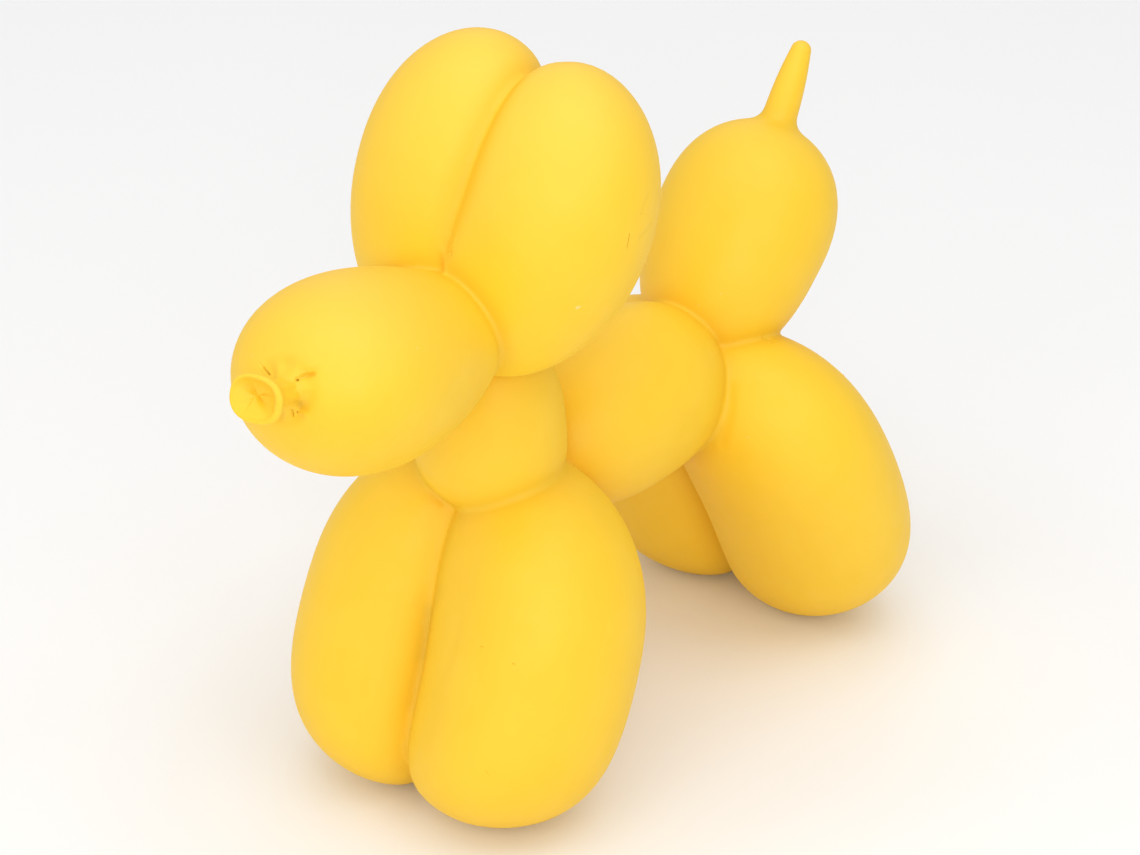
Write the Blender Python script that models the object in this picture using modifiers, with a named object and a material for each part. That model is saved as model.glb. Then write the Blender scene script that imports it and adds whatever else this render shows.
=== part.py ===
"""Balloon dog statue.

One moulded figure in the shape of a dog twisted from a single long balloon: a snout with the
balloon's open mouth on its end, two ears, a neck, two front legs, a body, two hind legs and a tail
with the balloon's uninflated end standing up from it. The dog faces -Y, its left side is +X, and it
stands on four small flats under its feet at z = 0, with the origin under the middle of its outline.
All sizes are in metres and all angles in degrees.

Every bubble is a round form about a long axis. A pitch tips the top of that axis backwards, a lean
tips it outwards, and a turn swings it towards the dog's left. A taper widens a bubble towards the
far end of its axis. A fullness of 2 gives an ellipsoid and more gives a blunter end, for the near and
the far end in turn. A bow pushes the middle of the axis outwards and backwards while its ends stay.
"""
import math

import bmesh
import bpy
import numpy as np
from mathutils import Matrix, Vector

# Body: between the twist at the chest and the twist at the hips, which lies this far behind it
BODY_SPAN = 0.0495
BODY_WIDTH = 0.0324
BODY_DEPTH = 0.0330
BODY_TAPER = 0.08
BODY_FULLNESS = (2.4, 2.6)

# Front legs: they hang from the chest
FRONT_LEG_LENGTH = 0.0687
FRONT_LEG_WIDTH = 0.0368
FRONT_LEG_DEPTH = 0.0383
FRONT_LEG_TAPER = 0.044
FRONT_LEG_FULLNESS = (4.9, 2.5)
FRONT_LEG_PITCH = 23.4
FRONT_LEG_LEAN = -6.7
FRONT_LEG_BOW = (0.0062, 0.0004)
FRONT_LEG_SIDE = 0.0058
FRONT_LEG_AHEAD = 0.0055
FRONT_LEG_ABOVE = 0.0071

# Hind legs: they hang from the hips
HIND_LEG_LENGTH = 0.0719
HIND_LEG_WIDTH = 0.0428
HIND_LEG_DEPTH = 0.0345
HIND_LEG_TAPER = 0.01
HIND_LEG_FULLNESS = (4.3, 3.4)
HIND_LEG_PITCH = -27.2
HIND_LEG_LEAN = -2.6
HIND_LEG_BOW = (0.0068, 0.0001)
HIND_LEG_SIDE = 0.0090
HIND_LEG_AHEAD = 0.0045
HIND_LEG_ABOVE = 0.0033

# Neck: up from the chest to the twist at the head
NECK_LENGTH = 0.0354
NECK_WIDTH = 0.0270
NECK_DEPTH = 0.0265
NECK_TAPER = -0.17
NECK_FULLNESS = (2.9, 2.5)
NECK_PITCH = 3.5
NECK_AHEAD = 0.0136
NECK_BELOW = 0.0010

# Snout: forward from the head
SNOUT_LENGTH = 0.0642
SNOUT_WIDTH = 0.0354
SNOUT_DEPTH = 0.0313
SNOUT_TAPER = 0.40
SNOUT_FULLNESS = (2.1, 2.1)
SNOUT_PITCH = -80.0
SNOUT_TURN = 6.0
SNOUT_AHEAD = 0.0012
SNOUT_ABOVE = 0.0019

# Ears: up from the head, as a pair that sits slightly skewed on it
EAR_LENGTH = 0.0569
EAR_WIDTH = 0.0358
EAR_DEPTH = 0.0331
EAR_TAPER = 0.01
EAR_FULLNESS = (2.0, 2.25)
EAR_PITCH = 20.9
EAR_LEAN = 4.3
EAR_BOW = (0.0020, 0.0010)
EAR_SIDE = 0.0065
EAR_AHEAD = 0.0115
EAR_BELOW = 0.0022
EARS_SKEW = 5.6
EARS_TURN = 2.9
EARS_SHIFT = -0.0003

# Tail: up and back from the hips
TAIL_LENGTH = 0.0488
TAIL_WIDTH = 0.0346
TAIL_DEPTH = 0.0328
TAIL_TAPER = 0.12
TAIL_FULLNESS = (2.9, 2.3)
TAIL_PITCH = 39.5
TAIL_AHEAD = 0.0020
TAIL_BELOW = 0.0011

# The uninflated end that stands up from the tail
TAIL_END_LENGTH = 0.0162
TAIL_END_ROOT_RADIUS = 0.0034
TAIL_END_TIP_RADIUS = 0.0020
TAIL_END_NARROWING = 2.5
TAIL_END_PITCH = 30.0
TAIL_END_FORWARD = 0.0028
TAIL_END_EMBED = 0.0040

# The balloon's mouth on the end of the snout: a short stem, a rolled lip and a funnel
MOUTH_LENGTH = 0.0084
MOUTH_PITCH = -75.0
MOUTH_TURN = 7.5
MOUTH_SIDE = 0.0008
MOUTH_ABOVE = 0.0020
MOUTH_EMBED = 0.0040
STEM_RADIUS = 0.0023
STEM_ROOT_RADIUS = 0.0032
STEM_ROOT_HEIGHT = 0.0020
STEM_CURVE = 2.2
LIP_RADIUS = 0.0041
LIP_BEAD_RADIUS = 0.0006
LIP_BEAD_ANGLES = (160.0, -90.0)
LIP_OVAL = 1.22
FUNNEL_DEPTH = 0.0024
FUNNEL_CURVE = 1.5

# Softness of the creases between the bubbles, and of the root of the tail's end
CREASE_SOFTNESS = 0.0022
TAIL_END_SOFTNESS = 0.0026

# How much of each foot is flattened off against the ground
FOOT_FLATTENING = 0.0003

# Fineness of the mesh
ROUND_STEPS = 64
LENGTH_STEPS = 40
VOXEL = 0.0011
SKIN_TRIANGLES = 8400
MOUTH_SEGMENTS = 28
BEAD_STEPS = 8
CURVE_STEPS = 5
WELD_DISTANCE = 0.00001
SETTLING_STEPS = 5
LEAST_STEEPNESS = 0.25
HALVINGS = 40
SHARP_ANGLE = 40.0

# How far past its ends a bubble's own formula is followed, in half lengths
REACH = 1.6

# Matte moulded yellow
YELLOW = (1.0, 0.62, 0.055, 1.0)
ROUGHNESS = 0.6


def clear_scene():
    for thing in list(bpy.data.objects):
        bpy.data.objects.remove(thing)


def make_collection(name):
    collection = bpy.data.collections.new(name)
    bpy.context.scene.collection.children.link(collection)
    return collection


def matte_yellow():
    material = bpy.data.materials.new("moulded_yellow")
    material.use_nodes = True
    shader = material.node_tree.nodes["Principled BSDF"]
    shader.inputs["Base Color"].default_value = YELLOW
    shader.inputs["Roughness"].default_value = ROUGHNESS
    shader.inputs["Metallic"].default_value = 0.0
    material.diffuse_color = YELLOW
    return material


def turned(pitch, lean=0.0, turn=0.0):
    """Rotation whose columns point across, fore and aft, and along a bubble."""
    about_x = Matrix.Rotation(math.radians(-pitch), 3, "X")
    about_y = Matrix.Rotation(math.radians(lean), 3, "Y")
    about_z = Matrix.Rotation(math.radians(turn), 3, "Z")
    return np.array(about_z @ about_y @ about_x)


def unit_sphere():
    """A round cage of radius 1, as a bmesh."""
    bm = bmesh.new()
    bmesh.ops.create_uvsphere(bm, u_segments=ROUND_STEPS, v_segments=LENGTH_STEPS, radius=1.0)
    return bm


class Bubble:
    """A bowed, tapered, blunt-ended round form about an axis."""

    softness = CREASE_SOFTNESS

    def __init__(self, length, width, depth, taper, fullness, rotation, bow=(0.0, 0.0)):
        self.half = np.array([width / 2, depth / 2, length / 2])
        self.taper = taper
        self.fullness = fullness
        self.rotation = rotation
        self.bow = np.array(bow)
        self.centre = np.zeros(3)

    def along(self):
        return self.rotation[:, 2]

    def start_at(self, point):
        """Put the near end of the axis at a point."""
        self.centre = point + self.along() * self.half[2]
        return self

    def hang_from(self, point):
        """Put the far, upper end of the axis at a point."""
        self.centre = point - self.along() * self.half[2]
        return self

    def far_end(self):
        return self.centre + self.along() * self.half[2]

    def fullness_at(self, along):
        return np.where(along > 0, self.fullness[1], self.fullness[0])

    def skin(self, unit):
        """Points of a unit sphere (N x 3) carried onto the bubble."""
        t = np.sign(unit[:, 2]) * np.abs(unit[:, 2]) ** (2 / self.fullness_at(unit[:, 2]))
        girth = 1 + self.taper * t
        local = np.empty_like(unit)
        for axis in (0, 1):
            local[:, axis] = self.half[axis] * girth * unit[:, axis] + self.bow[axis] * (1 - t * t)
        local[:, 2] = self.half[2] * t
        return local @ self.rotation.T + self.centre

    def distance(self, points):
        """Signed distance of points to the skin, true close to it, and its direction."""
        local = (points - self.centre) @ self.rotation
        t = np.clip(local[:, 2] / self.half[2], -REACH, REACH)
        girth = 1 + self.taper * t
        radii = self.half[:2] * girth[:, None]
        across = (local[:, :2] - self.bow * (1 - t * t)[:, None]) / radii
        fullness = self.fullness_at(t)
        blunt = np.abs(t) ** (fullness - 1)
        value = (across ** 2).sum(1) + blunt * np.abs(t) - 1
        slope = np.empty_like(local)
        slope[:, :2] = 2 * across / radii
        drift = 2 * t[:, None] * self.bow / radii - across * (self.taper / girth)[:, None]
        slope[:, 2] = ((2 * across * drift).sum(1) + fullness * blunt * np.sign(t)) / self.half[2]
        size = np.linalg.norm(slope, axis=1)
        return value / size, (slope / size[:, None]) @ self.rotation.T

    def mirrored(self):
        """The same bubble on the other side of the plane x = 0."""
        flip = np.array([-1.0, 1.0, 1.0])
        flipped = self.rotation * flip[:, None]
        width, depth, length = 2 * self.half
        twin = Bubble(length, width, depth, self.taper, self.fullness, flipped, self.bow)
        twin.centre = self.centre * flip
        return twin


class Stub:
    """A round-ended stub that narrows more and more from its root to its tip."""

    softness = TAIL_END_SOFTNESS

    def __init__(self, root, tip, root_radius, tip_radius, narrowing):
        self.root = root
        self.line = tip - root
        self.root_radius = root_radius
        self.tip_radius = tip_radius
        self.narrowing = narrowing

    def skin(self, unit):
        """Points of a unit sphere (N x 3) carried roughly onto the stub, one half to each end."""
        along = self.line / np.linalg.norm(self.line)
        across = np.cross(along, (1.0, 0.0, 0.0))
        frame = np.stack([np.cross(across, along), across, along])
        upper = (unit[:, 2] > 0)[:, None]
        radius = np.where(upper, self.tip_radius, self.root_radius)
        return self.root + np.where(upper, self.line, 0.0) + (unit * radius) @ frame

    def distance(self, points):
        """Signed distance of points to the skin, true close to it, and its direction."""
        from_root = points - self.root
        t = np.clip(from_root @ self.line / (self.line @ self.line), 0.0, 1.0)
        away = from_root - t[:, None] * self.line
        size = np.linalg.norm(away, axis=1)
        radius = self.root_radius + (self.tip_radius - self.root_radius) * t ** self.narrowing
        return size - radius, away / size[:, None]


def height_below_top(leg):
    """How far a leg's lowest point lies below the top end of its axis."""
    cage = unit_sphere()
    unit = np.array([vert.co for vert in cage.verts])
    cage.free()
    return leg.far_end()[2] - leg.skin(unit)[:, 2].min()


def lay_out():
    """All the bubbles in place, built up from the feet: a dictionary by name."""
    front = Bubble(FRONT_LEG_LENGTH, FRONT_LEG_WIDTH, FRONT_LEG_DEPTH, FRONT_LEG_TAPER, FRONT_LEG_FULLNESS,
                   turned(FRONT_LEG_PITCH, FRONT_LEG_LEAN), FRONT_LEG_BOW)
    hind = Bubble(HIND_LEG_LENGTH, HIND_LEG_WIDTH, HIND_LEG_DEPTH, HIND_LEG_TAPER, HIND_LEG_FULLNESS,
                  turned(HIND_LEG_PITCH, HIND_LEG_LEAN), HIND_LEG_BOW)
    chest = np.array([0.0, 0.0, height_below_top(front) - FRONT_LEG_ABOVE - FOOT_FLATTENING])
    hips = np.array([0.0, BODY_SPAN, height_below_top(hind) - HIND_LEG_ABOVE - FOOT_FLATTENING])
    front.hang_from(chest + (FRONT_LEG_SIDE, -FRONT_LEG_AHEAD, FRONT_LEG_ABOVE))
    hind.hang_from(hips + (HIND_LEG_SIDE, -HIND_LEG_AHEAD, HIND_LEG_ABOVE))

    rise = hips[2] - chest[2]
    body_pitch = math.degrees(math.atan2(BODY_SPAN, rise))
    body = Bubble(math.hypot(BODY_SPAN, rise), BODY_WIDTH, BODY_DEPTH, BODY_TAPER, BODY_FULLNESS,
                  turned(body_pitch)).start_at(chest)
    neck = Bubble(NECK_LENGTH, NECK_WIDTH, NECK_DEPTH, NECK_TAPER, NECK_FULLNESS,
                  turned(NECK_PITCH)).start_at(chest + (0, -NECK_AHEAD, -NECK_BELOW))
    tail = Bubble(TAIL_LENGTH, TAIL_WIDTH, TAIL_DEPTH, TAIL_TAPER, TAIL_FULLNESS,
                  turned(TAIL_PITCH)).start_at(hips + (0, -TAIL_AHEAD, -TAIL_BELOW))

    head = neck.far_end()
    snout = Bubble(SNOUT_LENGTH, SNOUT_WIDTH, SNOUT_DEPTH, SNOUT_TAPER, SNOUT_FULLNESS,
                   turned(SNOUT_PITCH, 0, SNOUT_TURN)).start_at(head + (0, -SNOUT_AHEAD, SNOUT_ABOVE))
    ear = Bubble(EAR_LENGTH, EAR_WIDTH, EAR_DEPTH, EAR_TAPER, EAR_FULLNESS,
                 turned(EAR_PITCH, EAR_LEAN), EAR_BOW).start_at(np.array([EAR_SIDE, -EAR_AHEAD, -EAR_BELOW]))
    other_ear = ear.mirrored()
    skew = turned(0, EARS_SKEW, EARS_TURN)
    for bubble in (ear, other_ear):
        bubble.rotation = skew @ bubble.rotation
        bubble.centre = head + (EARS_SHIFT, 0, 0) + skew @ bubble.centre
    return {"snout": snout, "left_ear": ear, "right_ear": other_ear, "neck": neck,
            "left_front_leg": front, "right_front_leg": front.mirrored(), "body": body,
            "left_hind_leg": hind, "right_hind_leg": hind.mirrored(), "tail": tail,
            "tail_end": tail_end(tail)}


def tail_end(tail):
    """The uninflated end, rooted inside the tail near its far end."""
    direction = turned(TAIL_END_PITCH)[:, 2]
    foot = tail.far_end() - tail.rotation[:, 1] * TAIL_END_FORWARD
    root = foot - direction * TAIL_END_EMBED
    tip = foot + direction * (TAIL_END_LENGTH - TAIL_END_TIP_RADIUS)
    return Stub(root, tip, TAIL_END_ROOT_RADIUS, TAIL_END_TIP_RADIUS, TAIL_END_NARROWING)


def soft_join(near, other, softness):
    """Two distances with their directions, joined with a soft crease between them."""
    share = np.clip(0.5 + 0.5 * (other[0] - near[0]) / softness, 0.0, 1.0)
    distance = other[0] + (near[0] - other[0]) * share - softness * share * (1 - share)
    direction = other[1] + (near[1] - other[1]) * share[:, None]
    return distance, direction


def figure_distance(forms, points):
    """Signed distance of points to the whole figure's skin, and its direction."""
    joined = forms[0].distance(points)
    for form in forms[1:]:
        joined = soft_join(joined, form.distance(points), form.softness)
    return joined


def settle(mesh, forms):
    """Move every vertex onto the softly joined skin of the figure."""
    points = np.empty(len(mesh.vertices) * 3, np.float32)
    mesh.vertices.foreach_get("co", points)
    points = points.astype(float).reshape(-1, 3)
    for _ in range(SETTLING_STEPS):
        distance, direction = figure_distance(forms, points)
        steepness = np.maximum((direction ** 2).sum(1), LEAST_STEEPNESS)
        points -= direction * (distance / steepness)[:, None]
    mesh.vertices.foreach_set("co", points.astype(np.float32).ravel())
    mesh.update()


def rough_figure(forms, collection):
    """One object holding every form as its own shaped sphere."""
    mesh = bpy.data.meshes.new("balloon_dog")
    bm = bmesh.new()
    for form in forms:
        made = bmesh.ops.create_uvsphere(bm, u_segments=ROUND_STEPS, v_segments=LENGTH_STEPS, radius=1.0)
        places = form.skin(np.array([vert.co for vert in made["verts"]]))
        for vert, place in zip(made["verts"], places):
            vert.co = place
    bmesh.ops.recalc_face_normals(bm, faces=bm.faces)
    bm.to_mesh(mesh)
    bm.free()
    figure = bpy.data.objects.new("balloon_dog", mesh)
    collection.objects.link(figure)
    return figure


def apply_modifiers(thing):
    """Swap an object's mesh for the one its modifiers make."""
    graph = bpy.context.evaluated_depsgraph_get()
    shaped = bpy.data.meshes.new_from_object(thing.evaluated_get(graph))
    thing.modifiers.clear()
    thing.data = shaped


def connected_verts(start):
    """All the vertices that edges join to one vertex, with that vertex."""
    found = {start}
    edge_of_search = [start]
    while edge_of_search:
        vert = edge_of_search.pop()
        for edge in vert.link_edges:
            other = edge.other_vert(vert)
            if other not in found:
                found.add(other)
                edge_of_search.append(other)
    return found


def keep_outer_skin(mesh):
    """Delete the closed pockets that are left inside, where several bubbles meet."""
    bm = bmesh.new()
    bm.from_mesh(mesh)
    waiting = set(bm.verts)
    shells = []
    while waiting:
        shell = connected_verts(next(iter(waiting)))
        waiting -= shell
        shells.append(shell)
    shells.sort(key=len)
    for pocket in shells[:-1]:
        bmesh.ops.delete(bm, geom=list(pocket), context="VERTS")
    bm.to_mesh(mesh)
    bm.free()


def flatten_feet(mesh):
    """Cut the figure off at the ground and close the four flats."""
    bm = bmesh.new()
    bm.from_mesh(mesh)
    geometry = bm.verts[:] + bm.edges[:] + bm.faces[:]
    bmesh.ops.bisect_plane(bm, geom=geometry, plane_co=(0, 0, 0), plane_no=(0, 0, 1), clear_inner=True)
    open_edges = [edge for edge in bm.edges if edge.is_boundary]
    bmesh.ops.holes_fill(bm, edges=open_edges)
    bmesh.ops.triangulate(bm, faces=bm.faces)
    bm.to_mesh(mesh)
    bm.free()


def make_skin(forms, collection):
    """The whole figure but its mouth, as one closed skin."""
    figure = rough_figure(forms, collection)
    remesh = figure.modifiers.new("one_skin", "REMESH")
    remesh.mode = "VOXEL"
    remesh.voxel_size = VOXEL
    apply_modifiers(figure)
    keep_outer_skin(figure.data)
    settle(figure.data, forms)

    figure.data.calc_loop_triangles()
    thin = figure.modifiers.new("fewer_faces", "DECIMATE")
    thin.ratio = SKIN_TRIANGLES / len(figure.data.loop_triangles)
    apply_modifiers(figure)
    settle(figure.data, forms)
    flatten_feet(figure.data)
    return figure


def point_on(bubble, side, above):
    """The point on a bubble's far end that lies beside and above its pole by the given amounts."""
    start = bubble.centre + (side, 0, above)
    low, high = 0.0, bubble.half[2] * REACH
    for _ in range(HALVINGS):
        middle = (low + high) / 2
        outside = bubble.distance((start + bubble.along() * middle)[None, :])[0][0] > 0
        low, high = (low, middle) if outside else (middle, high)
    return start + bubble.along() * low


def mouth_profile():
    """Radius and height along the turned outline, from the funnel's bottom over the lip to the root."""
    bead_height = MOUTH_LENGTH - LIP_BEAD_RADIUS
    bead_ring = LIP_RADIUS - LIP_BEAD_RADIUS
    points = []
    for step in range(CURVE_STEPS):
        share = step / CURVE_STEPS
        points.append((bead_ring * share, bead_height - FUNNEL_DEPTH * (1 - share ** FUNNEL_CURVE)))
    first, last = LIP_BEAD_ANGLES
    for step in range(BEAD_STEPS + 1):
        angle = math.radians(first + (last - first) * step / BEAD_STEPS)
        points.append((bead_ring + LIP_BEAD_RADIUS * math.cos(angle),
                       bead_height + LIP_BEAD_RADIUS * math.sin(angle)))
    under_lip = bead_height - LIP_BEAD_RADIUS
    for step in range(1, CURVE_STEPS + 1):
        share = step / CURVE_STEPS
        flare = (bead_ring - STEM_RADIUS) * (1 - share) ** STEM_CURVE
        points.append((STEM_RADIUS + flare, under_lip + (STEM_ROOT_HEIGHT - under_lip) * share))
    points.append((STEM_ROOT_RADIUS, 0.0))
    points.append((STEM_ROOT_RADIUS, -MOUTH_EMBED))
    points.append((0.0, -MOUTH_EMBED))
    return points


def make_mouth(snout, cutters):
    """The balloon's mouth as a turned guide that stands on the end of the snout."""
    profile = mouth_profile()
    edges = [(index, index + 1) for index in range(len(profile) - 1)]
    mesh = bpy.data.meshes.new("mouth")
    mesh.from_pydata([(radius, 0.0, height) for radius, height in profile], edges, [])
    mouth = bpy.data.objects.new("mouth", mesh)
    mouth.hide_render = True
    mouth.display_type = "WIRE"
    cutters.objects.link(mouth)
    screw = mouth.modifiers.new("turn", "SCREW")
    screw.angle = math.tau
    screw.steps = MOUTH_SEGMENTS
    screw.render_steps = MOUTH_SEGMENTS
    screw.use_merge_vertices = True
    screw.merge_threshold = WELD_DISTANCE
    screw.use_normal_calculate = True
    apply_modifiers(mouth)
    root = Matrix.Translation(Vector(point_on(snout, MOUTH_SIDE, MOUTH_ABOVE)))
    aim = Matrix(turned(MOUTH_PITCH, 0, MOUTH_TURN)).to_4x4()
    stretch = Matrix.Diagonal((LIP_OVAL, 1.0, 1.0, 1.0))
    mouth.data.transform(root @ aim @ stretch)
    return mouth


def join_mouth(figure, mouth):
    union = figure.modifiers.new("mouth", "BOOLEAN")
    union.operation = "UNION"
    union.solver = "EXACT"
    union.object = mouth
    apply_modifiers(figure)


def centre_outline(things):
    """Shift objects together, so that the first one's outline lies evenly about the origin."""
    corners = np.array([vert.co for vert in things[0].data.vertices])
    middle = (corners.min(0) + corners.max(0)) / 2
    for thing in things:
        thing.data.transform(Matrix.Translation((-middle[0], -middle[1], 0.0)))


def main():
    clear_scene()
    parts = make_collection("balloon_dog_statue")
    cutters = make_collection("cutters")
    bubbles = lay_out()
    figure = make_skin(list(bubbles.values()), parts)
    mouth = make_mouth(bubbles["snout"], cutters)
    join_mouth(figure, mouth)
    centre_outline([figure, mouth])
    figure.data.materials.clear()
    figure.data.materials.append(matte_yellow())
    figure.data.shade_smooth()
    figure.data.set_sharp_from_angle(angle=math.radians(SHARP_ANGLE))


main()
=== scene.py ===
"""Balloon dog statue: the looks.

The figure is one moulded skin. Here it is made again from the same bubbles as the solid, with a much
finer mesh, narrow creases, the pleated mouth of the balloon on the snout, and the small marks of use
and moulding that the photograph shows. The dog faces -Y, its left side is +X, and it stands at z = 0.
Sizes are in metres and angles in degrees, unless a comment says otherwise.
"""

import math

import bmesh
import bpy
import numpy as np
from mathutils import Matrix, Vector


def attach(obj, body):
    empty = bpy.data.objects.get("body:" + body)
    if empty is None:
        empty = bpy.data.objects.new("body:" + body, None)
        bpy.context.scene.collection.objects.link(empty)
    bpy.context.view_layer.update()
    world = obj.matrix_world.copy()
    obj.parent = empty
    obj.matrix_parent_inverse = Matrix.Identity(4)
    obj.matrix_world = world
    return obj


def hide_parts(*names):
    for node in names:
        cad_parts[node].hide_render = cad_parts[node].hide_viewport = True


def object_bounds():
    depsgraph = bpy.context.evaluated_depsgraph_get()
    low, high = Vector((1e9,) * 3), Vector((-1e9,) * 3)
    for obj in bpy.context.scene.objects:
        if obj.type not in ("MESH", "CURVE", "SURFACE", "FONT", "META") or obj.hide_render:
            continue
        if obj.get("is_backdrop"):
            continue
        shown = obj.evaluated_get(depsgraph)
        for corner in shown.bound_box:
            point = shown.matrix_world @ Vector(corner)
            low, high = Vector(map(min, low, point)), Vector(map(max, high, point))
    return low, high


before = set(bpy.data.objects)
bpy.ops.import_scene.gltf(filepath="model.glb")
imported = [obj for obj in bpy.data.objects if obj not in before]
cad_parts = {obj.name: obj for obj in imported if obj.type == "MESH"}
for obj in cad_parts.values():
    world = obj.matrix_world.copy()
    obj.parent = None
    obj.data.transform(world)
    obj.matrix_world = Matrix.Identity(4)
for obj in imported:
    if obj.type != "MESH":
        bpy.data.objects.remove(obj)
cad_low, cad_high = (np.array(corner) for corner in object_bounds())

# The photograph, in pixels, and the camera that took it
PHOTO_WIDTH = 1140
PHOTO_HEIGHT = 855
CAMERA_AZIMUTH = 37.6
CAMERA_ELEVATION = 28.22
CAMERA_ROLL = 0.1
CAMERA_DISTANCE = 0.6684
CAMERA_TARGET = (0.0, 0.00937, 0.06113)
CAMERA_LENS = 113.85
SENSOR_WIDTH = 36.0

# Studio light: a white tent, and round lamps outside it. Each lamp has its azimuth from the camera,
# its elevation, the size of its disk and its watts.
TENT_STRENGTH = 0.51
LAMP_DISTANCE = 1.3
LAMPS = (
    ("overhead", 0.0, 88.0, 1.1, 3.4),
    ("high_right", 60.0, 60.0, 0.8, 2.1),
    ("high_left", -60.0, 60.0, 0.8, 1.2),
    ("high_front", 0.0, 60.0, 0.8, 0.9),
    ("front_right", 30.0, 25.0, 0.8, 1.9),
    ("front_left", -30.0, 25.0, 0.8, 1.9),
    ("front", 0.0, 26.0, 0.4, 2.4),
    ("left", -84.0, 25.0, 0.8, 1.3),
    ("behind", 180.0, 38.0, 1.1, 1.4),
)

# Body: between the twist at the chest and the twist at the hips, which lies this far behind it
BODY_SPAN = 0.0495
BODY_WIDTH = 0.0324
BODY_DEPTH = 0.0330
BODY_TAPER = 0.08
BODY_FULLNESS = (2.4, 2.6)

# Front legs: they hang from the chest
FRONT_LEG_LENGTH = 0.0687
FRONT_LEG_WIDTH = 0.0368
FRONT_LEG_DEPTH = 0.0383
FRONT_LEG_TAPER = 0.044
FRONT_LEG_FULLNESS = (4.9, 2.5)
FRONT_LEG_PITCH = 23.4
FRONT_LEG_LEAN = -6.7
FRONT_LEG_BOW = (0.0062, 0.0004)
FRONT_LEG_SIDE = 0.0058
FRONT_LEG_AHEAD = 0.0055
FRONT_LEG_ABOVE = 0.0071

# Hind legs: they hang from the hips
HIND_LEG_LENGTH = 0.0719
HIND_LEG_WIDTH = 0.0428
HIND_LEG_DEPTH = 0.0345
HIND_LEG_TAPER = 0.01
HIND_LEG_FULLNESS = (4.3, 3.4)
HIND_LEG_PITCH = -27.2
HIND_LEG_LEAN = -2.6
HIND_LEG_BOW = (0.0068, 0.0001)
HIND_LEG_SIDE = 0.0090
HIND_LEG_AHEAD = 0.0045
HIND_LEG_ABOVE = 0.0033

# Neck: up from the chest to the twist at the head
NECK_LENGTH = 0.0354
NECK_WIDTH = 0.0270
NECK_DEPTH = 0.0265
NECK_TAPER = -0.17
NECK_FULLNESS = (2.9, 2.5)
NECK_PITCH = 3.5
NECK_AHEAD = 0.0136
NECK_BELOW = 0.0010

# Snout: forward from the head
SNOUT_LENGTH = 0.0642
SNOUT_WIDTH = 0.0354
SNOUT_DEPTH = 0.0313
SNOUT_TAPER = 0.40
SNOUT_FULLNESS = (2.1, 2.1)
SNOUT_PITCH = -80.0
SNOUT_TURN = 6.0
SNOUT_AHEAD = 0.0012
SNOUT_ABOVE = 0.0019

# Ears: up from the head, as a pair that sits slightly skewed on it
EAR_LENGTH = 0.0569
EAR_WIDTH = 0.0358
EAR_DEPTH = 0.0331
EAR_TAPER = 0.01
EAR_FULLNESS = (2.0, 2.25)
EAR_PITCH = 20.9
EAR_LEAN = 4.3
EAR_BOW = (0.0020, 0.0010)
EAR_SIDE = 0.0065
EAR_AHEAD = 0.0115
EAR_BELOW = 0.0022
EARS_SKEW = 5.6
EARS_TURN = 2.9
EARS_SHIFT = -0.0003

# Tail: up and back from the hips
TAIL_LENGTH = 0.0488
TAIL_WIDTH = 0.0346
TAIL_DEPTH = 0.0328
TAIL_TAPER = 0.12
TAIL_FULLNESS = (2.9, 2.3)
TAIL_PITCH = 39.5
TAIL_AHEAD = 0.0020
TAIL_BELOW = 0.0011

# The uninflated end that stands up from the tail
TAIL_END_LENGTH = 0.0162
TAIL_END_ROOT_RADIUS = 0.0034
TAIL_END_TIP_RADIUS = 0.0020
TAIL_END_NARROWING = 2.5
TAIL_END_PITCH = 30.0
TAIL_END_FORWARD = 0.0028
TAIL_END_EMBED = 0.0040

# The balloon's mouth on the end of the snout: a short stem, a rolled lip and a funnel
MOUTH_LENGTH = 0.0084
MOUTH_PITCH = -75.0
MOUTH_TURN = 7.5
MOUTH_SIDE = 0.0008
MOUTH_ABOVE = 0.0020
MOUTH_EMBED = 0.0040
STEM_RADIUS = 0.0023
STEM_ROOT_HEIGHT = 0.0020
STEM_CURVE = 2.2
LIP_RADIUS = 0.0041
LIP_BEAD_RADIUS = 0.0006
LIP_BEAD_ANGLES = (160.0, -90.0)
LIP_OVAL = 1.22

# The lip is a rounded square, thicker on the side towards the dog's left
LIP_SQUARENESS = 2.35
LIP_THIN_RADIUS = 0.00024
LIP_THICK_ANGLE = -5.0

# The funnel: steep-walled over one side and a bulging cushion over the other, gathered into a dimple
FUNNEL_DEPTH = 0.0021
FUNNEL_SHIFT = (-0.0008, 0.0002)
FUNNEL_STEEP_ANGLE = 49.0
FUNNEL_STEEP_MIDDLE = 0.5
FUNNEL_STEEP_SWING = 0.75
FUNNEL_STEEP_CURVE = 3.2
FUNNEL_CUSHION_CURVE = 0.5

# Pleats in the funnel: angle, half width in degrees, and depth
PLEATS = (
    (131.5, 8.0, 0.00030),
    (-47.5, 8.0, 0.00034),
    (240.5, 8.0, 0.00024),
    (177.5, 9.0, 0.00014),
    (18.3, 8.0, 0.00022),
    (224.0, 6.0, 0.00012),
    (-81.5, 6.0, 0.00012),
)

# Where along the funnel the pleats are full, where they start to fade, and how long that takes, as shares
PLEAT_FULL = 0.25
PLEAT_FADES = 0.40
PLEAT_FADING = 0.55

# Ridges along the stem: how many, how high as a share of its radius, and how far they are turned
STEM_RIDGES = 7
STEM_RIDGE_SHARE = 0.045
STEM_RIDGE_TURN = 20.0

# The collar where the snout rises to the stem
COLLAR_HEIGHT = 0.0006
COLLAR_START = 0.0025
COLLAR_BREADTH = 0.0006

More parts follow.
